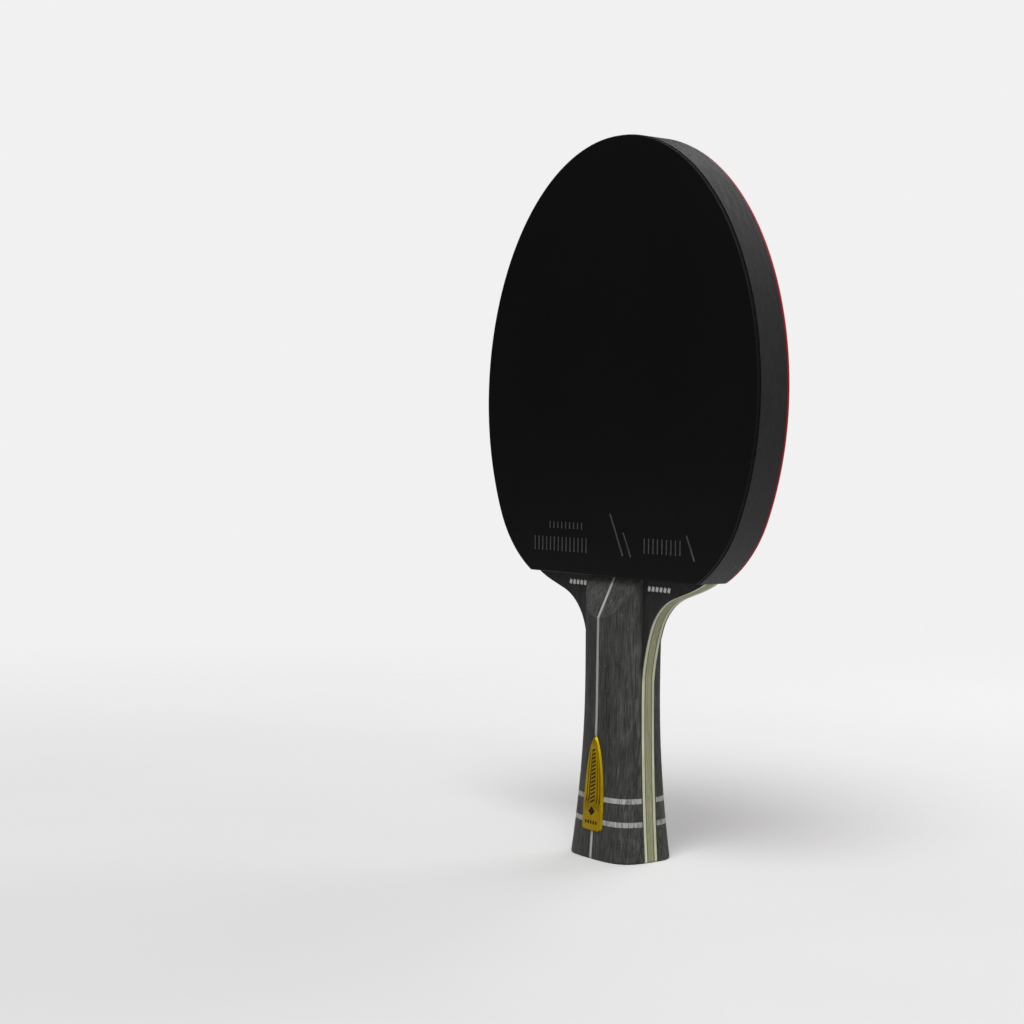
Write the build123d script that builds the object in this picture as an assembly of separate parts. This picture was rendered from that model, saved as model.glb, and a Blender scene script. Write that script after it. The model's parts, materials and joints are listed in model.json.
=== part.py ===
from build123d import *
import math
import os

# Shakehand table tennis paddle: laminated blade, flared two-scale handle, pimpled-in rubber on both faces.
#
# Frame: +Z runs from the butt of the handle to the crown of the head, +X is to the right when the
# front face is seen, and the front face looks towards -Y. The origin is the centre of the flat butt.
# All lengths are in millimetres.

# Overall sizes
TOTAL_LENGTH = 257.0
HANDLE_LENGTH = 100.5
HEAD_WIDTH = 150.0

# Head outline, one half: elliptical crown, side arc, corner arc, straight shoulder, two neck arcs
CROWN_HEIGHT = 91.8
SIDE_RADIUS = 107.0
SIDE_TURN = 23.6
CORNER_RADIUS = 46.3
SHOULDER_SLOPE = 18.6
NECK_RADIUS = 20.0
NECK_BEND_X = 30.7
NECK_TAPER = 20.0
TONGUE_HALF_WIDTH = 13.9
TONGUE_END = 54.0

# Blade plies, from the middle outwards
CORE_THICKNESS = 2.8
CARBON_THICKNESS = 0.3
INNER_VENEER = 1.1
FACE_VENEER = 0.45

# Rubber sheets
SPONGE_THICKNESS = 2.1
PIPS_HEIGHT = 0.9
TOPSHEET_THICKNESS = 1.0
RUBBER_GAP = 0.2

# Edge tape
TAPE_THICKNESS = 0.25
TAPE_HALF_WIDTH = 5.9

# Handle section at the waist, and how much the flared butt and the head end add to it
WAIST_HEIGHT = 62.0
WAIST_HALF_WIDTH = 14.4
WAIST_HALF_DEPTH = 11.7
WAIST_SQUARENESS = 2.3
BUTT_EXTRA_WIDTH = 2.9
BUTT_EXTRA_DEPTH = 2.1
BUTT_EXTRA_SQUARENESS = 1.2
HEAD_EXTRA_WIDTH = 0.9
BUTT_ROUNDING = 0.8
SECTION_HEIGHTS = [0.0, 8.0, 18.0, 30.0, 44.0, 62.0, 80.0, HANDLE_LENGTH]
SECTION_POINTS = 32

# Thumb bevel at the top of each scale
BEVEL_START = 86.0
BEVEL_END_DEPTH = 4.3

# Inlays in the handle scales
STRIPE_WIDTH = 1.2
LOWER_BAND = (12.8, 14.6)
UPPER_BAND = (21.0, 22.8)

# Lens-shaped badge on the front scale
BADGE_TIP = 43.9
BADGE_WAIST = 14.5
BADGE_BOTTOM = 10.0
BADGE_HALF_WIDTH = 5.4
BADGE_ARCH_OFFSET = 0.6
BADGE_CORNER = 2.0
BADGE_POCKET_DEPTH = 1.5
BADGE_PAD_THICKNESS = 0.2
BADGE_CLEARANCE = 0.1
BADGE_FIELD_PROUD = 0.25
BADGE_RIDGE_PROUD = 0.6
BADGE_RIM = 0.8
BADGE_PANEL_INSET = 2.9

# Derived sizes
WIDEST_Z = TOTAL_LENGTH - CROWN_HEIGHT
CARBON_OUTER = CORE_THICKNESS / 2 + CARBON_THICKNESS
INNER_OUTER = CARBON_OUTER + INNER_VENEER
BLADE_HALF = INNER_OUTER + FACE_VENEER
SPONGE_OUTER = BLADE_HALF + SPONGE_THICKNESS
PIPS_OUTER = SPONGE_OUTER + PIPS_HEIGHT
RUBBER_OUTER = PIPS_OUTER + TOPSHEET_THICKNESS
SCALE_TOP = HANDLE_LENGTH - RUBBER_GAP
FAR = 400.0


def slab(face, y_low, y_high):
    """Solid of a face drawn in the XZ plane, from y_low to y_high."""
    return Pos(0, y_high, 0) * extrude(face, amount=y_high - y_low)


def block(x_range, y_range, z_range):
    """Axis-aligned box given by its three ranges."""
    size = [high - low for low, high in (x_range, y_range, z_range)]
    middle = [(high + low) / 2 for low, high in (x_range, y_range, z_range)]
    return Pos(*middle) * Box(*size)


def blade_face(grow=0.0):
    """Head, shoulders and a short tongue that ends inside the handle, in the XZ plane."""
    half_width = HEAD_WIDTH / 2 + grow
    side_radius = SIDE_RADIUS + grow
    corner_radius = CORNER_RADIUS + grow
    turn = math.radians(SIDE_TURN)
    slope = math.radians(SHOULDER_SLOPE)
    side_centre = (half_width - side_radius, WIDEST_Z)
    corner_x = side_centre[0] + (side_radius - corner_radius) * math.cos(turn)
    corner_z = side_centre[1] - (side_radius - corner_radius) * math.sin(turn)
    shoulder_x = corner_x + corner_radius * math.sin(slope)
    shoulder_z = corner_z - corner_radius * math.cos(slope)
    bend_z = shoulder_z - (shoulder_x - NECK_BEND_X) * math.tan(slope)
    neck_x = NECK_BEND_X + NECK_RADIUS * math.sin(slope)
    neck_z = bend_z - NECK_RADIUS * math.cos(slope)
    taper = math.radians(NECK_TAPER)
    taper_x = neck_x - NECK_RADIUS * math.cos(taper)
    taper_z = neck_z + NECK_RADIUS * math.sin(taper)
    blend_radius = (taper_x - TONGUE_HALF_WIDTH) / (1 - math.cos(taper))
    blend_centre = (TONGUE_HALF_WIDTH + blend_radius, taper_z - blend_radius * math.sin(taper))

    crown = EllipticalCenterArc((0, WIDEST_Z), half_width, CROWN_HEIGHT + grow, 0, arc_size=90)
    side = CenterArc(side_centre, side_radius, -SIDE_TURN, SIDE_TURN)
    corner_sweep = 90 - SHOULDER_SLOPE - SIDE_TURN
    corner = CenterArc((corner_x, corner_z), corner_radius, SHOULDER_SLOPE - 90, corner_sweep)
    shoulder = Line((shoulder_x, shoulder_z), (NECK_BEND_X, bend_z))
    neck_sweep = 90 - NECK_TAPER - SHOULDER_SLOPE
    neck = CenterArc((neck_x, neck_z), NECK_RADIUS, 90 + SHOULDER_SLOPE, neck_sweep)
    blend = CenterArc(blend_centre, blend_radius, 180 - NECK_TAPER, NECK_TAPER)
    tongue_corner = (TONGUE_HALF_WIDTH, TONGUE_END)
    tongue = Polyline((TONGUE_HALF_WIDTH, blend_centre[1]), tongue_corner, (0, TONGUE_END))
    half = Curve() + [crown, side, corner, shoulder, neck, blend, tongue]
    outline = Plane.XZ * (half + mirror(half, Plane.YZ))
    return make_face(outline)


def rubber_face(grow=0.0):
    """Head outline down to the straight lower edge of the rubber."""
    keep = Plane.XZ * Pos(0, HANDLE_LENGTH + FAR / 2) * Rectangle(FAR, FAR)
    return blade_face(grow) & keep


def handle_section(z, grow):
    """Closed superellipse across the handle at height z."""
    flare = max(0.0, 1 - z / WAIST_HEIGHT) ** 2
    swell = max(0.0, (z - WAIST_HEIGHT) / (HANDLE_LENGTH - WAIST_HEIGHT)) ** 2
    half_width = WAIST_HALF_WIDTH + BUTT_EXTRA_WIDTH * flare + HEAD_EXTRA_WIDTH * swell + grow
    half_depth = WAIST_HALF_DEPTH + BUTT_EXTRA_DEPTH * flare + grow
    power = 2 / (WAIST_SQUARENESS + BUTT_EXTRA_SQUARENESS * flare)
    points = []
    for index in range(SECTION_POINTS):
        angle = 2 * math.pi * index / SECTION_POINTS
        across, along = math.cos(angle), math.sin(angle)
        x = half_width * math.copysign(abs(across) ** power, across)
        y = half_depth * math.copysign(abs(along) ** power, along)
        points.append((x, y))
    return make_face(Plane.XY.offset(z) * Spline(points, periodic=True))


def handle_body(grow=0.0):
    """Outer shape of the grip, blade tongue included."""
    return loft([handle_section(z, grow) for z in SECTION_HEIGHTS])


def bevel_wedge(side):
    """Material removed above the thumb bevel of one scale; side is -1 for the front."""
    rise = HANDLE_LENGTH - BEVEL_START
    run = WAIST_HALF_DEPTH - BEVEL_END_DEPTH
    reach = 2.0
    low = (side * (WAIST_HALF_DEPTH + reach * run), BEVEL_START - reach * rise)
    high = (side * (BEVEL_END_DEPTH - run), HANDLE_LENGTH + rise)
    outside = (side * FAR, HANDLE_LENGTH + rise)
    below = (side * FAR, BEVEL_START - reach * rise)
    profile = make_face(Plane.YZ * Polyline(low, high, outside, below, close=True))
    return extrude(profile, amount=FAR / 2, both=True)


def badge_face(inset=0.0):
    """Arch with a soft tip, in the XZ plane; inset draws the same arch further in."""
    half_width = BADGE_HALF_WIDTH - inset
    tip = BADGE_TIP - inset
    bottom = BADGE_BOTTOM + inset
    corner_radius = BADGE_CORNER - inset * BADGE_CORNER / BADGE_HALF_WIDTH
    width = half_width + BADGE_ARCH_OFFSET
    height = (tip - BADGE_WAIST) / math.sqrt(1 - (BADGE_ARCH_OFFSET / width) ** 2)
    tip_angle = math.degrees(math.acos(BADGE_ARCH_OFFSET / width))
    arch_centre = (-BADGE_ARCH_OFFSET, BADGE_WAIST)
    arch = EllipticalCenterArc(arch_centre, width, height, 0, arc_size=tip_angle)
    side = Line((half_width, BADGE_WAIST), (half_width, bottom + corner_radius))
    corner_centre = (half_width - corner_radius, bottom + corner_radius)
    corner = CenterArc(corner_centre, corner_radius, -90, 90)
    base = Line((half_width - corner_radius, bottom), (0, bottom))
    half = Curve() + [arch, side, corner, base]
    return make_face(Plane.XZ * (half + mirror(half, Plane.YZ)))


def blade_plies(plate, body):
    """The seven plies; each is the head plate joined to its slice of the handle."""
    core_half = CORE_THICKNESS / 2
    layers = {"core_ply": (-core_half, core_half)}
    for name, inner, outer in (
        ("carbon_ply", core_half, CARBON_OUTER),
        ("inner_veneer", CARBON_OUTER, INNER_OUTER),
        ("face_veneer", INNER_OUTER, BLADE_HALF),
    ):
        layers["front_" + name] = (-outer, -inner)
        layers["back_" + name] = (inner, outer)
    plies = {}
    for name, (low, high) in layers.items():
        grip = body & block((-FAR, FAR), (low, high), (-FAR, FAR))
        plies[name] = slab(plate, low, high) + grip
    return plies


def scale_pieces(scale, side_name):
    """Cut one handle scale into its glued blocks, centre stripes and cross bands."""
    half_stripe = STRIPE_WIDTH / 2
    left, stripe, right = (-FAR, -half_stripe), (-half_stripe, half_stripe), (half_stripe, FAR)
    levels = {
        "butt": (-FAR, LOWER_BAND[0]),
        "spacer": (LOWER_BAND[1], UPPER_BAND[0]),
        "grip": (UPPER_BAND[1], FAR),
    }
    pieces = {}
    for level_name, z_range in levels.items():
        for column_name, x_range in (("left_block", left), ("stripe", stripe), ("right_block", right)):
            name = f"{side_name}_{level_name}_{column_name}"
            pieces[name] = scale & block(x_range, (-FAR, FAR), z_range)
    for band_name, z_range in (("lower_band", LOWER_BAND), ("upper_band", UPPER_BAND)):
        pieces[f"{side_name}_{band_name}"] = scale & block((-FAR, FAR), (-FAR, FAR), z_range)
    return pieces


def handle_scales(body):
    """Front and back scales, each split into its pieces; the front one has the badge pocket."""
    trimmed = body & block((-FAR, FAR), (-FAR, FAR), (-FAR, SCALE_TOP))
    front = trimmed & block((-FAR, FAR), (-FAR, -BLADE_HALF), (-FAR, FAR))
    back = trimmed & block((-FAR, FAR), (BLADE_HALF, FAR), (-FAR, FAR))
    front -= bevel_wedge(-1)
    back -= bevel_wedge(1)
    pocket_floor = -(WAIST_HALF_DEPTH + BADGE_PAD_THICKNESS - BADGE_POCKET_DEPTH)
    front -= slab(badge_face(-BADGE_CLEARANCE), -FAR, pocket_floor)
    pieces = scale_pieces(front, "front")
    pieces.update(scale_pieces(back, "back"))
    return pieces, pocket_floor


def badge_pieces(pocket_floor):
    """Struck badge with a raised rim and centre panel, on its adhesive pad."""
    seat = pocket_floor - BADGE_PAD_THICKNESS
    field = handle_body(BADGE_FIELD_PROUD) & slab(badge_face(), -FAR, seat)
    raised = badge_face() - badge_face(BADGE_RIM)
    raised += badge_face(BADGE_PANEL_INSET)
    ridges = handle_body(BADGE_RIDGE_PROUD) & slab(raised, -FAR, seat)
    pad = slab(badge_face(), seat, pocket_floor)
    return {"badge": field + ridges, "badge_adhesive_pad": pad}


def rubber_pieces():
    """Sponge, pips layer and topsheet on each face, each a flat sheet cut to the head."""
    sheet = rubber_face()
    pieces = {}
    for name, inner, outer in (
        ("sponge", BLADE_HALF, SPONGE_OUTER),
        ("pips", SPONGE_OUTER, PIPS_OUTER),
        ("topsheet", PIPS_OUTER, RUBBER_OUTER),
    ):
        pieces["front_" + name] = slab(sheet, -outer, -inner)
        pieces["back_" + name] = slab(sheet, inner, outer)
    return pieces


def edge_tape():
    """Thin band round the rim of the head, from one rubber corner over the crown to the other."""
    ring = rubber_face(TAPE_THICKNESS) - rubber_face()
    return slab(ring, -TAPE_HALF_WIDTH, TAPE_HALF_WIDTH)


def build():
    """All pieces of the paddle by node name."""
    body = handle_body()
    body = fillet(body.edges().group_by(Axis.Z)[0], BUTT_ROUNDING)
    pieces = blade_plies(blade_face(), body & block((-FAR, FAR), (-FAR, FAR), (-FAR, SCALE_TOP)))
    scales, pocket_floor = handle_scales(body)
    pieces.update(scales)
    pieces.update(badge_pieces(pocket_floor))
    pieces.update(rubber_pieces())
    pieces["edge_tape"] = edge_tape()
    return pieces


os.makedirs("parts", exist_ok=True)
for node, shape in build().items():
    export_step(shape, f"parts/{node}.step")
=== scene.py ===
import json
import math

import bmesh
import bpy
from mathutils import Matrix, Vector


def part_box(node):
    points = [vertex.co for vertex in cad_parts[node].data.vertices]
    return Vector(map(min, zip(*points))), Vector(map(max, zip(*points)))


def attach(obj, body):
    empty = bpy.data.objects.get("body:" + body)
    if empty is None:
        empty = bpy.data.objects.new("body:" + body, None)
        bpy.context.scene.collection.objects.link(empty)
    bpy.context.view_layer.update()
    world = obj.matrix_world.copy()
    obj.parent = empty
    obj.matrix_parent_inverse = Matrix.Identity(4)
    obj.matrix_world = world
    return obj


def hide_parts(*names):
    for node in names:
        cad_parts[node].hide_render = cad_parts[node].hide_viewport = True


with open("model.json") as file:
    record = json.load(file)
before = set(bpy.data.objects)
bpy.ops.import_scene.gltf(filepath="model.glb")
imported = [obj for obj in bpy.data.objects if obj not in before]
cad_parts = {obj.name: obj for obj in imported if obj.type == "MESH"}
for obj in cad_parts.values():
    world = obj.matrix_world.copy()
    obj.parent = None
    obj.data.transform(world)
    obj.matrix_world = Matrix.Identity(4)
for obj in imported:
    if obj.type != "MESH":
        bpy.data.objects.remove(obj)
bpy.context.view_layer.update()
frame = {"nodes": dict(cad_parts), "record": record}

MM = 0.001

# Sizes of the paddle, in metres, the same as in the CAD model
HEAD_HALF_WIDTH = 75.0 * MM
HANDLE_LENGTH = 100.5 * MM
TOTAL_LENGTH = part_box("core_ply")[1][2]
CROWN_HEIGHT = 91.8 * MM
WIDEST_Z = TOTAL_LENGTH - CROWN_HEIGHT
SIDE_RADIUS = 107.0 * MM
SIDE_TURN = math.radians(23.6)
CORNER_RADIUS = 46.3 * MM
WAIST_HEIGHT = 62.0 * MM
WAIST_HALF_WIDTH = 14.4 * MM
WAIST_HALF_DEPTH = 11.7 * MM
WAIST_SQUARENESS = 2.3
BUTT_EXTRA_WIDTH = 2.9 * MM
BUTT_EXTRA_DEPTH = 2.1 * MM
BUTT_EXTRA_SQUARENESS = 1.2
BADGE_TIP = 43.9 * MM
BADGE_WAIST = 14.5 * MM
BADGE_BOTTOM = 10.0 * MM
BADGE_HALF_WIDTH = 5.4 * MM
BADGE_ARCH_OFFSET = 0.6 * MM
BADGE_CORNER = 2.0 * MM
OUTLINE_STEPS = 96
SHARP_ANGLE = math.radians(35)

# Layer depths from the middle of the blade, read from the frame
BLADE_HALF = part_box("back_face_veneer")[1][1]
PIPS_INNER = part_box("back_pips")[0][1]
PIPS_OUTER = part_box("back_pips")[1][1]
RUBBER_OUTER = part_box("back_topsheet")[1][1]
BADGE_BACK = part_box("badge")[1][1]

# Rubber: rounding of the topsheet's outer edge, spacing and shape of the pimples, and how far in from
# the edge they are real pegs
EDGE_ROUNDING = 0.35 * MM
EDGE_STEPS = 4
PIP_PITCH = 1.95 * MM
PIP_FOOT_RADIUS = 0.60 * MM
PIP_HEAD_RADIUS = 0.74 * MM
PIP_SIDES = 10
PIP_FIRST_ROW = 0.45
PIP_EDGE_MARGIN = 0.62 * MM
PIP_RING_WIDTH = 5.0 * MM
PIP_RING_MARGIN = 0.7 * MM

# Moulded marks: long bars as centre (X, Z), length and width, and rows of upright ribs as first X, Z,
# count, spacing and length, all in millimetres
MARK_HEIGHT = 0.22 * MM
MARK_SLANT = math.radians(-27)
LONG_BARS = (
    ((4.1, 115.6), 16.5, 0.7),
    ((10.0, 112.3), 9.5, 0.6),
    ((43.5, 112.6), 9.5, 0.7),
)
RIB_ROWS = (
    (-43.5, 111.0, 14, 2.35, 5.2),
    (-34.5, 118.0, 9, 2.35, 2.4),
    (19.5, 112.4, 9, 2.35, 5.2),
)
RIB_WIDTH = 0.5 * MM

# Printed blocks on the shoulders; where the rows start and their spacing are in millimetres
PRINT_STARTS = (-26.6, 17.8)
PRINT_COUNT = 6
PRINT_SPACING = 2.1
PRINT_Z = 97.2 * MM
PRINT_LENGTH = 1.7 * MM
PRINT_WIDTH = 1.35 * MM
PRINT_SLANT = math.radians(18)
PRINT_THICKNESS = 0.03 * MM

# Struck relief of the badge: heights in millimetres, the heights Z between which the hollows fade in
# and out, and places across it as shares of its half width
RIM_HEIGHT = 0.72
RIM_SLOPE = 0.55
TIP_SLOPE = 0.8
VALLEY_DEPTH = 0.50
VALLEY_EDGE = (0.74, 0.82)
RIDGE_HEIGHT = 0.34
RIDGE_PLACE = 0.56
RIDGE_WIDTH = 0.07
PANEL_HEIGHT = 0.34
PANEL_EDGE = (0.30, 0.36)
HOLLOW_FOOT = (17.0, 23.5)
HOLLOW_HEAD = (37.0, 41.5)
BADGE_ROWS = 220
BADGE_COLUMNS = 56
TIP_HALF_WIDTH = 0.02 * MM
SHARE_LEAST_WIDTH = 0.5 * MM

# Enamel on the badge: arch lines as (share of the half width, upper end), bars up the panel, a lozenge
# and a foot row; the lines' upper ends, the first bar's height and the spacings are in millimetres
ARCH_LINES = ((-0.70, 37.2), (-0.43, 38.8), (0.43, 38.8), (0.70, 37.2))
ARCH_LINE_FOOT = 20.2 * MM
ARCH_LINE_STEPS = 40
ARCH_LINE_SHARE = 0.035
ARCH_LINE_LEAST = 0.09 * MM
ARCH_LINE_SUNK = -0.2 * MM
ARCH_LINE_PROUD = 0.05 * MM
ENAMEL_HEIGHT = 0.07 * MM
PANEL_BARS = 14
PANEL_BAR_FOOT = 20.6
PANEL_BAR_SPACING = 1.4
PANEL_BAR_SHARE = 0.56
PANEL_BAR_WIDTH = 0.56 * MM
PANEL_BAR_SLANT = math.radians(62)
LOZENGE_Z = 17.0 * MM
LOZENGE_SIDE = 2.5 * MM
LOZENGE_TURN = math.radians(45)
FOOT_BARS = range(-2, 3)
FOOT_BAR_Z = 13.1 * MM
FOOT_BAR_SPACING = 1.4
FOOT_BAR_LENGTH = 1.15 * MM
FOOT_BAR_WIDTH = 0.75 * MM

# Camera: where it stands, which way it looks, and its lens
CAMERA_PLACE = (0.52487, -0.43675, 0.14315)
CAMERA_AZIMUTH = math.radians(53.64)
CAMERA_PITCH = math.radians(-1.69)
CAMERA_ROLL = math.radians(0.74)
CAMERA_LENS = 66.8
CAMERA_SENSOR = 36.0
CAMERA_NEAR = 0.01

# Studio: tone of the backdrop, the soft surround from its dim side to its bright side, and the lamps
BACKDROP_TONE = 0.88
DIM_SURROUND = 0.04
BRIGHT_SURROUND = 0.46
BRIGHT_SIDE = (0.60, -0.15, 0.78)
BRIGHT_SIDE_START = -0.6
KEY_DIRECTION = (-0.38, 0.52, -1.00)
KEY_STRENGTH = 2.1
KEY_SPREAD = math.radians(35)
RIGHT_SOFTBOX = {"place": (0.9, -0.35, 0.55), "target": (0, 0, 0.13), "size": (0.7, 0.9), "power": 2}
BACK_SOFTBOX = {"place": (-0.2, 0.9, 0.7), "target": (0, 0, 0.15), "size": (0.8, 0.6), "power": 4}

# Floor: its radius and sides, its two tones, and the distances between which it fades into the backdrop
FLOOR_RADIUS = 40.0
FLOOR_SIDES = 96
FLOOR_LOW_TONE = 0.70
FLOOR_HIGH_TONE = 0.73
FLOOR_FADE_START = 0.08
FLOOR_FADE_END = 0.85


# ---------------------------------------------------------------- node helpers


class Nodes:
    """Short way to write a material's node tree."""

    def __init__(self, name):
        self.material = bpy.data.materials.new(name)
        self.material.use_nodes = True
        self.tree = self.material.node_tree
        self.shader = self.tree.nodes["Principled BSDF"]

    def add(self, kind, settings=None, **inputs):
        node = self.tree.nodes.new(kind)
        for key, value in (settings or {}).items():
            setattr(node, key, value)
        for key, value in inputs.items():
            self.feed(node.inputs[key.replace("_", " ")], value)
        return node

    def feed(self, socket, value):
        if isinstance(value, bpy.types.NodeSocket):
            self.tree.links.new(value, socket)
        elif isinstance(value, bpy.types.Node):
            self.tree.links.new(value.outputs[0], socket)
        else:
            socket.default_value = value

    def place(self, scale, shift=(0, 0, 0)):
        """Object coordinates, in metres, scaled to a texture's own units."""
        coords = self.add("ShaderNodeTexCoord").outputs["Object"]
        mapping = self.add("ShaderNodeMapping")
        self.feed(mapping.inputs["Vector"], coords)
        mapping.inputs["Scale"].default_value = scale
        mapping.inputs["Location"].default_value = shift
        return mapping.outputs[0]

    def noise(self, vector, detail=4.0, roughness=0.6, distortion=0.0):
        return self.add(
            "ShaderNodeTexNoise",
            Vector=vector,
            Scale=1.0,
            Detail=detail,
            Roughness=roughness,
            Distortion=distortion,
        ).outputs["Fac"]

    def ramp(self, factor, *stops):
        """Colour ramp; each stop is (position, grey value or colour)."""
        node = self.add("ShaderNodeValToRGB", Fac=factor)
        elements = node.color_ramp.elements
        while len(elements) < len(stops):
            elements.new(0.5)
        for element, (position, colour) in zip(elements, stops):
            element.position = position
            element.color = rgba(colour)
        return node.outputs["Color"]

    def math(self, operation, a, b):
        node = self.add("ShaderNodeMath", {"operation": operation})
        self.feed(node.inputs[0], a)
        self.feed(node.inputs[1], b)
        return node.outputs[0]

    def mix(self, factor, a, b, blend="MIX"):
        """Mix of two colours; sockets 6 and 7 and output 2 are the node's colour ones."""
        node = self.add("ShaderNodeMix", {"data_type": "RGBA", "blend_type": blend})
        self.feed(node.inputs["Factor"], factor)
        self.feed(node.inputs[6], a if hasattr(a, "links") else rgba(a))
        self.feed(node.inputs[7], b if hasattr(b, "links") else rgba(b))
        return node.outputs[2]

    def bump(self, height, strength, distance, normal=None):
        node = self.add("ShaderNodeBump", Strength=strength, Distance=distance, Height=height)
        if normal is not None:
            self.feed(node.inputs["Normal"], normal)
        return node.outputs[0]

    def finish(self, colour, roughness, normal=None, **constants):
        self.feed(self.shader.inputs["Base Color"], colour)
        self.feed(self.shader.inputs["Roughness"], roughness)
        if normal is not None:
            self.feed(self.shader.inputs["Normal"], normal)
        for key, value in constants.items():
            self.shader.inputs[key.replace("_", " ")].default_value = value
        return self.material


def rgba(colour):
    """A grey value or a colour as four numbers."""
    if isinstance(colour, (int, float)):
        return (colour, colour, colour, 1.0)
    return tuple(colour) + (1.0,)


# ---------------------------------------------------------------- materials

DUST_TONE = (0.28, 0.28, 0.27)


def rubber_material(name, colour, dusty):
    """Smooth high-grip topsheet: satin, with the pimples just telegraphing through and a little dust."""
    n = Nodes(name)
    across = n.place((1 / PIP_PITCH, 0, 1 / (PIP_PITCH * math.sqrt(3))))
    dots = n.add(
        "ShaderNodeTexVoronoi",
        {"feature": "F1", "voronoi_dimensions": "3D"},
        Vector=across,
        Scale=1.0,
        Randomness=0.0,
    ).outputs["Distance"]
    cloud = n.noise(n.place((22, 22, 22)), detail=5, roughness=0.55)
    fine = n.noise(n.place((5200, 5200, 5200)), detail=2)
    specks = n.ramp(n.noise(n.place((1500, 1500, 1500)), detail=1), (0.76, 0.0), (0.80, 1.0))
    tone = n.mix(n.ramp(cloud, (0.35, 0.0), (0.7, 1.0)), colour, [c * 1.12 for c in colour])
    tone = n.mix(n.math("MULTIPLY", specks, 0.12), tone, dusty)
    roughness = n.math("ADD", n.math("MULTIPLY", cloud, 0.14), 0.40)
    normal = n.bump(n.ramp(dots, (0.2, 1.0), (0.45, 0.0)), 0.035, 0.1 * MM)
    normal = n.bump(fine, 0.05, 0.02 * MM, normal)
    return n.finish(tone, roughness, normal, Specular_IOR_Level=0.13)


def moulded_material(name, colour):
    """The same rubber on the raised marks, where the mould was polished: glossier, with a paler colour
    that is a painted highlight for the glints on their edges.
    """
    n = Nodes(name)
    cloud = n.noise(n.place((260, 260, 260)), detail=4, roughness=0.6)
    fine = n.noise(n.place((5200, 5200, 5200)), detail=2)
    # Painted highlight: the marks' colour is paler than the rubber's so they read as glinting lines
    tone = n.ramp(cloud, (0.3, colour), (0.7, [c * 1.6 for c in colour]))
    roughness = n.math("ADD", n.math("MULTIPLY", cloud, 0.15), 0.18)
    return n.finish(tone, roughness, n.bump(fine, 0.05, 0.02 * MM), Specular_IOR_Level=0.8)


def wood_material(
    name,
    tones,
    seed,
    polish=0.42,
    grain=(1500, 520, 130),
    relief=0.12,
    gloss=0.4,
    painted_top_light=1.0,
    mottle=0.4,
):
    """Straight-grained wood, fibres along Z: short pores, slow changes of tone and a little dust.

    painted_top_light is how much paler the wood is painted on faces that look upward, a painted
    highlight standing in for light from above, and mottle is the strength of the slow changes of tone.
    """
    dark, middle, light = tones
    n = Nodes(name)
    shift = (seed * 3.7, seed * 1.9, seed * 5.3)
    fibres = n.noise(n.place(grain, shift), detail=6, roughness=0.62, distortion=0.15)
    threads = n.noise(n.place([g * k for g, k in zip(grain, (3.2, 3.2, 0.5))], shift), detail=3)
    slow = n.noise(n.place((150, 150, 24), shift), detail=4)
    pores = n.noise(n.place([g * k for g, k in zip(grain, (2.6, 2.6, 1.4))], shift), detail=2)
    body = n.ramp(fibres, (0.28, dark), (0.5, middle), (0.74, light))
    tone = n.mix(0.45, body, n.ramp(threads, (0.34, dark), (0.66, light)))
    patches = n.ramp(slow, (0.32, (0.70, 0.745, 0.715)), (0.68, (1.29, 1.265, 1.25)))
    tone = n.mix(mottle, tone, patches, "MULTIPLY")
    pits = n.ramp(pores, (0.30, 1.0), (0.37, 0.0))
    tone = n.mix(n.math("MULTIPLY", pits, 0.55), tone, [c * 0.45 for c in dark])
    dust = n.ramp(n.noise(n.place((1300, 1300, 1300), shift), detail=2), (0.70, 0.0), (0.76, 1.0))
    tone = n.mix(n.math("MULTIPLY", dust, 0.4), tone, DUST_TONE)
    # Painted highlight: faces that look upward are made paler, standing in for light falling from above
    normal = n.add("ShaderNodeTexCoord").outputs["Normal"]
    rise = n.add("ShaderNodeSeparateXYZ", Vector=normal).outputs["Z"]
    tone = n.mix(1.0, tone, n.ramp(rise, (0.25, 1.0), (0.40, painted_top_light)), "MULTIPLY")
    roughness = n.math("ADD", n.math("MULTIPLY", fibres, 0.22), polish - 0.11)
    height = n.math("SUBTRACT", fibres, n.math("MULTIPLY", pits, 0.8))
    return n.finish(tone, roughness, n.bump(height, relief, 0.12 * MM), Specular_IOR_Level=gloss)


def band_material(name):
    """Whitish veneer with short dark flecks across the grain."""
    n = Nodes(name)
    fibres = n.noise(n.place((2200, 2200, 160)), detail=5, roughness=0.6)
    flecks = n.noise(n.place((1500, 1500, 220), (7, 2, 4)), detail=3, roughness=0.7)
    tone = n.ramp(fibres, (0.32, (0.165, 0.165, 0.157)), (0.68, (0.385, 0.385, 0.365)))
    marks = n.ramp(flecks, (0.385, 1.0), (0.455, 0.0))
    tone = n.mix(n.math("MULTIPLY", marks, 0.75), tone, (0.05, 0.05, 0.046))
    roughness = n.math("ADD", n.math("MULTIPLY", fibres, 0.2), 0.34)
    return n.finish(tone, roughness, n.bump(fibres, 0.1, 0.08 * MM), Specular_IOR_Level=0.4)


def carbon_material(name):
    """Resin-bonded woven fibre ply, seen on its sawn edge and round the shoulders."""
    n = Nodes(name)
    weave = n.add("ShaderNodeTexChecker", Vector=n.place((700, 700, 700)), Scale=1.0).outputs["Fac"]
    strands = n.noise(n.place((4200, 4200, 900)), detail=3)
    tone = n.ramp(strands, (0.3, (0.012, 0.012, 0.008)), (0.75, (0.045, 0.044, 0.028)))
    tone = n.mix(n.math("MULTIPLY", weave, 0.35), tone, (0.05, 0.048, 0.022))
    roughness = n.math("ADD", n.math("MULTIPLY", strands, 0.2), 0.3)
    return n.finish(tone, roughness, n.bump(strands, 0.1, 0.05 * MM))


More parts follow.
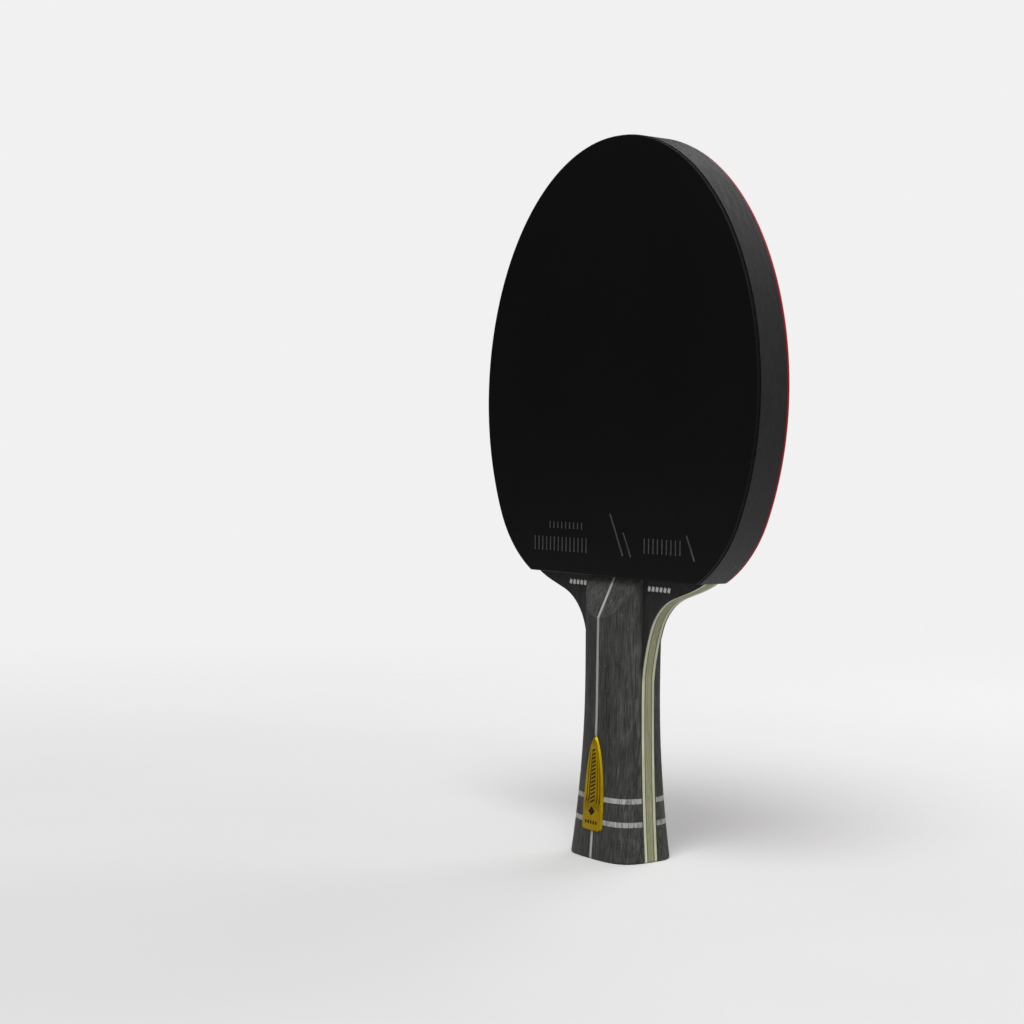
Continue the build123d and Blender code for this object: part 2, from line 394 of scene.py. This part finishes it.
def foam_material(name, dark, light):
    """Fine open cells of the sponge."""
    n = Nodes(name)
    cells = n.add(
        "ShaderNodeTexVoronoi", {"feature": "F1"}, Vector=n.place((4200, 4200, 4200)), Scale=1.0
    ).outputs["Distance"]
    patches = n.noise(n.place((300, 300, 300)), detail=3)
    tone = n.mix(n.ramp(cells, (0.1, 0.0), (0.6, 1.0)), dark, light)
    tone = n.mix(0.3, tone, n.ramp(patches, (0.3, 0.75), (0.7, 1.2)), "MULTIPLY")
    roughness = n.math("ADD", n.math("MULTIPLY", cells, 0.1), 0.82)
    return n.finish(tone, roughness, n.bump(cells, 0.5, 0.12 * MM))


def tape_material(name):
    """Thin fabric-backed edge tape: fine cross-ribs and a dull sheen."""
    n = Nodes(name)
    ribs = n.add(
        "ShaderNodeTexWave",
        {"wave_type": "BANDS", "bands_direction": "Y"},
        Vector=n.place((1, 1, 1)),
        Scale=420.0,
        Distortion=0.6,
        Detail=2.0,
    ).outputs["Fac"]
    scuffs = n.noise(n.place((260, 900, 260)), detail=5, roughness=0.7)
    tone = n.ramp(scuffs, (0.40, 0.007), (0.62, 0.012), (0.80, 0.03))
    roughness = n.math("ADD", n.math("MULTIPLY", scuffs, 0.3), 0.4)
    waves = n.noise(n.place((130, 420, 130), (3, 1, 8)), detail=3)
    normal = n.bump(ribs, 0.12, 0.04 * MM)
    normal = n.bump(waves, 0.35, 0.5 * MM, normal)
    return n.finish(tone, roughness, n.bump(scuffs, 0.1, 0.1 * MM, normal), Specular_IOR_Level=0.4)


def gold_material(name):
    """Struck gold-coloured metal with a soft brushed gloss and slight patches of tarnish."""
    n = Nodes(name)
    brushed = n.noise(n.place((5200, 5200, 260)), detail=3, roughness=0.6)
    tarnish = n.noise(n.place((420, 420, 420)), detail=5, roughness=0.65)
    dull = (0.33, 0.207, 0.003)
    plain = (0.385, 0.248, 0.004)
    bright = (0.45, 0.295, 0.007)
    tone = n.ramp(tarnish, (0.3, dull), (0.5, plain), (0.7, bright))
    roughness = n.math("ADD", n.math("MULTIPLY", tarnish, 0.12), 0.26)
    return n.finish(tone, roughness, n.bump(brushed, 0.06, 0.03 * MM), Metallic=1.0)


def plain_grain_material(name, colour, roughness_value, cells, gloss=0.5):
    """Ink, adhesive or enamel: one tone broken by fine unevenness."""
    n = Nodes(name)
    grain = n.noise(n.place((cells, cells, cells)), detail=4, roughness=0.65)
    low = [c * 0.72 for c in colour]
    tone = n.ramp(grain, (0.32, low), (0.68, colour))
    roughness = n.math("ADD", n.math("MULTIPLY", grain, 0.2), roughness_value - 0.1)
    return n.finish(tone, roughness, n.bump(grain, 0.12, 0.03 * MM), Specular_IOR_Level=gloss)


def floor_material(name):
    """Plain pale matt floor that fades away into the backdrop far from the object."""
    n = Nodes(name)
    cloud = n.noise(n.place((2.5, 2.5, 2.5)), detail=4)
    tone = n.ramp(cloud, (0.35, FLOOR_LOW_TONE), (0.65, FLOOR_HIGH_TONE))
    n.finish(tone, 0.8, Specular_IOR_Level=0.1)
    spot = n.place((1, 1, 1))
    reach = n.add("ShaderNodeVectorMath", {"operation": "LENGTH"}, Vector=spot).outputs["Value"]
    fade = n.add("ShaderNodeMapRange", {"interpolation_type": "SMOOTHSTEP"}, Value=reach)
    fade.inputs["From Min"].default_value = FLOOR_FADE_START
    fade.inputs["From Max"].default_value = FLOOR_FADE_END
    clear = n.add("ShaderNodeBsdfTransparent")
    blend = n.add("ShaderNodeMixShader", Fac=fade.outputs[0])
    n.feed(blend.inputs[1], n.shader)
    n.feed(blend.inputs[2], clear)
    n.tree.links.new(blend.outputs[0], n.tree.nodes["Material Output"].inputs["Surface"])
    return n.material


MATERIALS = {
    "black_rubber": rubber_material("black_rubber", (0.0024, 0.0024, 0.0025), (0.04, 0.04, 0.04)),
    "red_rubber": rubber_material("red_rubber", (0.32, 0.010, 0.014), (0.45, 0.25, 0.24)),
    # The moulded marks' colours are painted paler than the rubber, a painted highlight
    "black_rubber_moulded": moulded_material("black_rubber_moulded", (0.030, 0.030, 0.031)),
    "red_rubber_moulded": moulded_material("red_rubber_moulded", (0.36, 0.014, 0.018)),
    "dyed_face_veneer": wood_material(
        "dyed_face_veneer",
        ((0.008, 0.008, 0.008), (0.016, 0.016, 0.0157), (0.030, 0.030, 0.029)),
        1,
        polish=0.4,
    ),
    "inner_veneer": wood_material(
        "inner_veneer",
        ((0.33, 0.335, 0.22), (0.46, 0.475, 0.335), (0.56, 0.58, 0.43)),
        2,
        polish=0.6,
        grain=(1500, 1500, 90),
        mottle=0.3,
    ),
    "core_wood": wood_material(
        "core_wood",
        ((0.13, 0.128, 0.066), (0.235, 0.232, 0.132), (0.34, 0.335, 0.205)),
        3,
        polish=0.6,
        grain=(1900, 1900, 60),
        mottle=0.3,
    ),
    "carbon_weave": carbon_material("carbon_weave"),
    "pale_stripe": wood_material(
        "pale_stripe",
        ((0.25, 0.25, 0.24), (0.315, 0.315, 0.304), (0.39, 0.39, 0.376)),
        4,
        polish=0.4,
        relief=0.05,
        # Painted highlight on the stripe's upward faces
        painted_top_light=1.15,
    ),
    "flecked_band": band_material("flecked_band"),
    "sponge": foam_material("sponge", (0.013, 0.013, 0.0135), (0.036, 0.036, 0.037)),
    "edge_tape": tape_material("edge_tape"),
    "gold_badge": gold_material("gold_badge"),
    "adhesive": plain_grain_material("adhesive", (0.06, 0.06, 0.06), 0.6, 2500),
    "print_ink": plain_grain_material("print_ink", (0.80, 0.80, 0.78), 0.45, 3200),
    "dark_enamel": plain_grain_material("dark_enamel", (0.012, 0.008, 0.004), 0.45, 1800, gloss=0.1),
}


def handle_wood(seed):
    """Dark-dyed handle wood; every glued block is cut from another stretch of it."""
    return wood_material(
        f"handle_wood_{seed}",
        ((0.006, 0.006, 0.0058), (0.029, 0.0294, 0.0282), (0.086, 0.0868, 0.0828)),
        10 + seed,
        polish=0.55,
        grain=(1400, 520, 170),
        gloss=0.2,
        # Painted highlight on upward faces, such as the bevel at the top of the grip
        painted_top_light=1.4,
        mottle=1.0,
    )


# ---------------------------------------------------------------- mesh helpers


def new_piece(name, mesh_builder, material):
    """A finished piece from a bmesh, riding on the paddle's one body."""
    bmesh.ops.recalc_face_normals(mesh_builder, faces=mesh_builder.faces)
    mesh = bpy.data.meshes.new(name)
    mesh_builder.to_mesh(mesh)
    mesh_builder.free()
    piece = bpy.data.objects.new(name, mesh)
    bpy.context.scene.collection.objects.link(piece)
    mesh.materials.append(material)
    mesh.shade_smooth()
    mesh.set_sharp_from_angle(angle=SHARP_ANGLE)
    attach(piece, "root")
    return piece


def head_outline(grow):
    """The rubber's outline, counter-clockwise in X and Z from the lower right corner."""
    half_width = HEAD_HALF_WIDTH + grow
    side_radius = SIDE_RADIUS + grow
    corner_radius = CORNER_RADIUS + grow
    side_x = half_width - side_radius
    corner_x = side_x + (side_radius - corner_radius) * math.cos(SIDE_TURN)
    corner_z = WIDEST_Z - (side_radius - corner_radius) * math.sin(SIDE_TURN)
    foot_z = HANDLE_LENGTH - grow
    start = -math.asin((corner_z - foot_z) / corner_radius)
    arc_steps = OUTLINE_STEPS // 3
    right = []
    for index in range(arc_steps):
        angle = start + (-SIDE_TURN - start) * index / arc_steps
        x = corner_x + corner_radius * math.cos(angle)
        z = corner_z + corner_radius * math.sin(angle)
        right.append((x, z))
    for index in range(arc_steps):
        angle = -SIDE_TURN + SIDE_TURN * index / arc_steps
        x = side_x + side_radius * math.cos(angle)
        z = WIDEST_Z + side_radius * math.sin(angle)
        right.append((x, z))
    for index in range(OUTLINE_STEPS):
        angle = math.pi / 2 * index / OUTLINE_STEPS
        x = half_width * math.cos(angle)
        z = WIDEST_Z + (CROWN_HEIGHT + grow) * math.sin(angle)
        right.append((x, z))
    left = [(-x, z) for x, z in reversed(right)]
    return right + [(0.0, TOTAL_LENGTH + grow)] + left


def stacked_rings(rings, builder=None):
    """Closed solid through rings of points of equal count, capped at both ends."""
    builder = builder or bmesh.new()
    loops = [[builder.verts.new(point) for point in ring] for ring in rings]
    count = len(loops[0])
    for low, high in zip(loops, loops[1:]):
        for index in range(count):
            after = (index + 1) % count
            builder.faces.new((low[index], low[after], high[after], high[index]))
    builder.faces.new(list(reversed(loops[0])))
    builder.faces.new(loops[-1])
    return builder


def raised_bar(builder, centre, length, width, slant, base, height, side):
    """One low bar with bevelled edges on a face at depth base; side is -1 on the front."""
    bevel = min(height, width * 0.35)
    along = Vector((math.sin(slant), math.cos(slant)))
    over = Vector((along.y, -along.x))
    levels = (
        (0.0, -height * 0.4),
        (0.0, height * 0.45),
        (bevel * 0.45, height * 0.85),
        (bevel, height),
    )
    rings = []
    for shrink, rise in levels:
        half_width = width / 2 - shrink
        half_length = length / 2 - shrink
        ring = []
        for sign_a, sign_b in ((-1, -1), (1, -1), (1, 1), (-1, 1)):
            spot = Vector(centre) + over * sign_a * half_width + along * sign_b * half_length
            ring.append((spot.x, side * (base + rise), spot.y))
        rings.append(ring)
    stacked_rings(rings, builder)


# ---------------------------------------------------------------- rubber sheets


def topsheet(side_name, side, slot):
    """Smooth topsheet with a softly rounded outer edge."""
    rings = [(0.0, PIPS_OUTER)]
    for index in range(EDGE_STEPS + 1):
        angle = math.pi / 2 * index / EDGE_STEPS
        inset = EDGE_ROUNDING * (1 - math.cos(angle))
        depth = RUBBER_OUTER - EDGE_ROUNDING + EDGE_ROUNDING * math.sin(angle)
        rings.append((-inset, depth))
    loops = [[(x, side * depth, z) for x, z in head_outline(grow)] for grow, depth in rings]
    piece = new_piece(side_name + "_topsheet_skin", stacked_rings(loops), MATERIALS[slot])
    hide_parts(side_name + "_topsheet")


def inside_head(x, z, margin):
    """Whether a point lies inside the rubber's outline, further in than margin."""
    if z < HANDLE_LENGTH + margin:
        return False
    if z >= WIDEST_Z:
        return (x / (HEAD_HALF_WIDTH - margin)) ** 2 + ((z - WIDEST_Z) / (CROWN_HEIGHT - margin)) ** 2 < 1
    side_x = HEAD_HALF_WIDTH - SIDE_RADIUS
    if math.hypot(abs(x) - side_x, z - WIDEST_Z) > SIDE_RADIUS - margin:
        return False
    corner_x = side_x + (SIDE_RADIUS - CORNER_RADIUS) * math.cos(SIDE_TURN)
    corner_z = WIDEST_Z - (SIDE_RADIUS - CORNER_RADIUS) * math.sin(SIDE_TURN)
    beyond = abs(x) > corner_x and z < corner_z
    return not beyond or math.hypot(abs(x) - corner_x, z - corner_z) < CORNER_RADIUS - margin


def pips(side_name, side, slot):
    """Pimples round the edge of the sheet as real pegs, with a solid middle that is never seen."""
    middle = head_outline(-PIP_RING_WIDTH)
    loops = [[(x, side * depth, z) for x, z in middle] for depth in (PIPS_INNER, PIPS_OUTER)]
    builder = stacked_rings(loops)
    row_height = PIP_PITCH * math.sqrt(3) / 2
    rows = int((TOTAL_LENGTH - HANDLE_LENGTH) / row_height) + 1
    columns = int(HEAD_HALF_WIDTH / PIP_PITCH) + 1
    for row in range(rows):
        z = HANDLE_LENGTH + (row + PIP_FIRST_ROW) * row_height
        for column in range(-columns, columns + 1):
            x = (column + 0.5 * (row % 2)) * PIP_PITCH
            if not inside_head(x, z, PIP_EDGE_MARGIN):
                continue
            if inside_head(x, z, PIP_RING_WIDTH + PIP_RING_MARGIN):
                continue
            peg = []
            for depth, radius in ((PIPS_INNER, PIP_FOOT_RADIUS), (PIPS_OUTER, PIP_HEAD_RADIUS)):
                ring = []
                for index in range(PIP_SIDES):
                    angle = 2 * math.pi * index / PIP_SIDES
                    spot_x = x + radius * math.cos(angle)
                    spot_z = z + radius * math.sin(angle)
                    ring.append((spot_x, side * depth, spot_z))
                peg.append(ring)
            stacked_rings(peg, builder)
    piece = new_piece(side_name + "_pip_field", builder, MATERIALS[slot])
    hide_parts(side_name + "_pips")


def moulded_marks(side_name, side, slot):
    """Plain moulded bars near the foot of the sheet, where such sheets carry their relief."""
    builder = bmesh.new()
    for (x, z), length, width in LONG_BARS:
        spot = (x * MM, z * MM)
        raised_bar(builder, spot, length * MM, width * MM, MARK_SLANT, RUBBER_OUTER, MARK_HEIGHT, side)
    for start_x, z, count, spacing, length in RIB_ROWS:
        for index in range(count):
            spot = ((start_x + index * spacing) * MM, z * MM)
            raised_bar(builder, spot, length * MM, RIB_WIDTH, 0.0, RUBBER_OUTER, MARK_HEIGHT, side)
    new_piece(side_name + "_moulded_marks", builder, MATERIALS[slot + "_moulded"])


# ---------------------------------------------------------------- printed blocks on the shoulders


def printed_blocks():
    """Rows of small slanted blocks printed in pale ink beside the grip."""
    builder = bmesh.new()
    for start_x in PRINT_STARTS:
        for index in range(PRINT_COUNT):
            spot = ((start_x + index * PRINT_SPACING) * MM, PRINT_Z)
            size = (PRINT_LENGTH, PRINT_WIDTH)
            raised_bar(builder, spot, *size, PRINT_SLANT, BLADE_HALF, PRINT_THICKNESS, -1)
    new_piece("shoulder_print", builder, MATERIALS["print_ink"])


# ---------------------------------------------------------------- badge


def handle_depth(x, z):
    """How far the front of the handle stands from the blade's middle at x and z."""
    flare = max(0.0, 1 - z / WAIST_HEIGHT) ** 2
    half_width = WAIST_HALF_WIDTH + BUTT_EXTRA_WIDTH * flare
    half_depth = WAIST_HALF_DEPTH + BUTT_EXTRA_DEPTH * flare
    power = WAIST_SQUARENESS + BUTT_EXTRA_SQUARENESS * flare
    return half_depth * (1 - abs(x / half_width) ** power) ** (1 / power)


def badge_half_width(z):
    """Half width of the badge's arch at height z."""
    if z >= BADGE_WAIST:
        width = BADGE_HALF_WIDTH + BADGE_ARCH_OFFSET
        height = (BADGE_TIP - BADGE_WAIST) / math.sqrt(1 - (BADGE_ARCH_OFFSET / width) ** 2)
        return width * math.sqrt(max(0.0, 1 - ((z - BADGE_WAIST) / height) ** 2)) - BADGE_ARCH_OFFSET
    drop = BADGE_BOTTOM + BADGE_CORNER - z
    if drop <= 0:
        return BADGE_HALF_WIDTH
    return BADGE_HALF_WIDTH - BADGE_CORNER + math.sqrt(max(0.0, BADGE_CORNER**2 - drop**2))


def step(low, high, value):
    """Smooth step from 0 at low to 1 at high."""
    t = min(1.0, max(0.0, (value - low) / (high - low)))
    return t * t * (3 - 2 * t)


def badge_relief(x, z):
    """Height of the struck relief above the handle's surface."""
    half = badge_half_width(z)
    edge = min(half - abs(x), (BADGE_TIP - z) * TIP_SLOPE, z - BADGE_BOTTOM)
    crown = RIM_HEIGHT * step(0.0, RIM_SLOPE, edge / MM)
    share = abs(x) / max(half, SHARE_LEAST_WIDTH)
    fade = step(*HOLLOW_FOOT, z / MM) * (1 - step(*HOLLOW_HEAD, z / MM))
    valley = VALLEY_DEPTH * fade * (1 - step(*VALLEY_EDGE, share))
    ridge = RIDGE_HEIGHT * fade * math.exp(-(((share - RIDGE_PLACE) / RIDGE_WIDTH) ** 4))
    panel = PANEL_HEIGHT * fade * (1 - step(*PANEL_EDGE, share))
    return (crown - valley + ridge + panel) * MM


def badge_surface(x, z):
    """How far the struck badge stands from the blade's middle at x and z."""
    return handle_depth(x, z) + badge_relief(x, z)


def badge():
    """Struck lens-shaped badge: raised rim, nested ridges and a centre panel."""
    builder = bmesh.new()
    front = []
    for row in range(BADGE_ROWS + 1):
        share = 0.5 - 0.5 * math.cos(math.pi * row / BADGE_ROWS)
        z = BADGE_BOTTOM + (BADGE_TIP - BADGE_BOTTOM) * share
        half = max(badge_half_width(z), TIP_HALF_WIDTH)
        line = []
        for column in range(BADGE_COLUMNS + 1):
            x = -half * math.cos(math.pi * column / BADGE_COLUMNS)
            line.append(builder.verts.new((x, -badge_surface(x, z), z)))
        front.append(line)
    for low, high in zip(front, front[1:]):
        for index in range(BADGE_COLUMNS):
            builder.faces.new((low[index], low[index + 1], high[index + 1], high[index]))
    right_side = [line[-1] for line in front[1:]]
    left_side = [line[0] for line in front[-2:0:-1]]
    rim = front[0] + right_side + front[-1][-2::-1] + left_side
    back = [builder.verts.new((v.co.x, BADGE_BACK, v.co.z)) for v in rim]
    for index in range(len(rim)):
        after = (index + 1) % len(rim)
        builder.faces.new((rim[index], rim[after], back[after], back[index]))
    builder.faces.new(back)
    piece = new_piece("badge_struck", builder, MATERIALS["gold_badge"])
    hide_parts("badge")


def arch_line(builder, share, low, high):
    """Thin enamel line in a hollow of the badge, following its arch."""
    rings = []
    for index in range(ARCH_LINE_STEPS + 1):
        z = low + (high - low) * index / ARCH_LINE_STEPS
        half = badge_half_width(z)
        middle = share * half
        reach = max(ARCH_LINE_SHARE * half, ARCH_LINE_LEAST)
        corners = (
            (-reach, ARCH_LINE_SUNK),
            (reach, ARCH_LINE_SUNK),
            (reach, ARCH_LINE_PROUD),
            (-reach, ARCH_LINE_PROUD),
        )
        ring = []
        for offset, rise in corners:
            x = middle + offset
            ring.append((x, -(badge_surface(x, z) + rise), z))
        rings.append(ring)
    stacked_rings(rings, builder)


def badge_motif():
    """Enamel on the badge: lines in its hollows, bars up its panel, a lozenge and a foot row."""
    builder = bmesh.new()
    for share, high in ARCH_LINES:
        arch_line(builder, share, ARCH_LINE_FOOT, high * MM)
    for index in range(PANEL_BARS):
        z = (PANEL_BAR_FOOT + index * PANEL_BAR_SPACING) * MM
        size = (PANEL_BAR_SHARE * badge_half_width(z), PANEL_BAR_WIDTH)
        depth = badge_surface(0.0, z)
        raised_bar(builder, (0.0, z), *size, PANEL_BAR_SLANT, depth, ENAMEL_HEIGHT, -1)
    size = (LOZENGE_SIDE, LOZENGE_SIDE)
    depth = badge_surface(0.0, LOZENGE_Z)
    raised_bar(builder, (0.0, LOZENGE_Z), *size, LOZENGE_TURN, depth, ENAMEL_HEIGHT, -1)
    for index in FOOT_BARS:
        x = index * FOOT_BAR_SPACING * MM
        size = (FOOT_BAR_LENGTH, FOOT_BAR_WIDTH)
        depth = badge_surface(x, FOOT_BAR_Z)
        raised_bar(builder, (x, FOOT_BAR_Z), *size, 0.0, depth, ENAMEL_HEIGHT, -1)
    new_piece("badge_enamel", builder, MATERIALS["dark_enamel"])


# ---------------------------------------------------------------- carried-over CAD nodes


def dress_nodes():
    """Gives every CAD node that stays its procedural material."""
    slots = {entry["node"]: entry["material_slot"] for entry in frame["record"]["subparts"]}
    blocks = sorted(name for name in slots if slots[name] == "handle_wood")
    for name, slot in slots.items():
        node = frame["nodes"][name]
        material = handle_wood(blocks.index(name)) if slot == "handle_wood" else MATERIALS[slot]
        node.data.materials.clear()
        node.data.materials.append(material)


# ---------------------------------------------------------------- stage


def floor():
    """Wide pale floor."""
    builder = bmesh.new()
    bmesh.ops.create_circle(builder, cap_ends=True, segments=FLOOR_SIDES, radius=FLOOR_RADIUS)
    mesh = bpy.data.meshes.new("floor")
    builder.to_mesh(mesh)
    builder.free()
    plane = bpy.data.objects.new("floor", mesh)
    mesh.materials.append(floor_material("floor"))
    bpy.context.scene.collection.objects.link(plane)


def area_light(name, place, target, size, power):
    """Soft rectangular lamp aimed at a point."""
    data = bpy.data.lights.new(name, "AREA")
    data.shape = "RECTANGLE"
    data.size, data.size_y = size
    data.energy = power
    lamp = bpy.data.objects.new(name, data)
    lamp.location = place
    lamp.rotation_euler = (Vector(target) - Vector(place)).to_track_quat("-Z", "Y").to_euler()
    bpy.context.scene.collection.objects.link(lamp)


def lights():
    """Soft high key from the front right, two weak softboxes, and a soft surround.

    The surround is brightest at the upper right, and the camera sees a plain backdrop in its place.
    """
    sun = bpy.data.lights.new("sky_key", "SUN")
    sun.energy = KEY_STRENGTH
    sun.angle = KEY_SPREAD
    lamp = bpy.data.objects.new("sky_key", sun)
    lamp.rotation_euler = Vector(KEY_DIRECTION).to_track_quat("-Z", "Y").to_euler()
    bpy.context.scene.collection.objects.link(lamp)
    area_light("right_softbox", **RIGHT_SOFTBOX)
    area_light("back_softbox", **BACK_SOFTBOX)
    world = bpy.data.worlds.new("surround")
    world.use_nodes = True
    bpy.context.scene.world = world
    tree = world.node_tree
    backdrop = tree.nodes["Background"]
    backdrop.inputs["Color"].default_value = rgba(BACKDROP_TONE)
    direction = tree.nodes.new("ShaderNodeTexCoord")
    towards = tree.nodes.new("ShaderNodeVectorMath")
    towards.operation = "DOT_PRODUCT"
    towards.inputs[1].default_value = BRIGHT_SIDE
    tree.links.new(direction.outputs["Generated"], towards.inputs[0])
    level = tree.nodes.new("ShaderNodeMapRange")
    level.interpolation_type = "SMOOTHSTEP"
    level.inputs["From Min"].default_value = BRIGHT_SIDE_START
    level.inputs["To Min"].default_value = DIM_SURROUND
    level.inputs["To Max"].default_value = BRIGHT_SURROUND
    tree.links.new(towards.outputs["Value"], level.inputs["Value"])
    ambient = tree.nodes.new("ShaderNodeBackground")
    tree.links.new(level.outputs[0], ambient.inputs["Color"])
    path = tree.nodes.new("ShaderNodeLightPath")
    mix = tree.nodes.new("ShaderNodeMixShader")
    tree.links.new(path.outputs["Is Camera Ray"], mix.inputs["Fac"])
    tree.links.new(ambient.outputs[0], mix.inputs[1])
    tree.links.new(backdrop.outputs[0], mix.inputs[2])
    tree.links.new(mix.outputs[0], tree.nodes["World Output"].inputs["Surface"])


def camera():
    """Camera at the photo's viewing angle, with plain display colours."""
    bpy.context.scene.view_settings.view_transform = "Standard"
    data = bpy.data.cameras.new("camera")
    data.lens = CAMERA_LENS
    data.sensor_width = CAMERA_SENSOR
    data.clip_start = CAMERA_NEAR
    view = bpy.data.objects.new("camera", data)
    forward = Vector(
        (
            -math.sin(CAMERA_AZIMUTH) * math.cos(CAMERA_PITCH),
            math.cos(CAMERA_AZIMUTH) * math.cos(CAMERA_PITCH),
            math.sin(CAMERA_PITCH),
        )
    )
    right = Vector((math.cos(CAMERA_AZIMUTH), math.sin(CAMERA_AZIMUTH), 0.0))
    up = right.cross(forward)
    turn = Matrix((right, up, -forward)).transposed().to_4x4()
    view.matrix_world = Matrix.Translation(CAMERA_PLACE) @ turn @ Matrix.Rotation(CAMERA_ROLL, 4, "Z")
    bpy.context.scene.collection.objects.link(view)
    bpy.context.scene.camera = view


camera()
lights()
floor()
dress_nodes()
for side_name, side, slot in (("front", -1, "black_rubber"), ("back", 1, "red_rubber")):
    topsheet(side_name, side, slot)
    pips(side_name, side, slot)
    moulded_marks(side_name, side, slot)
printed_blocks()
badge()
badge_motif()
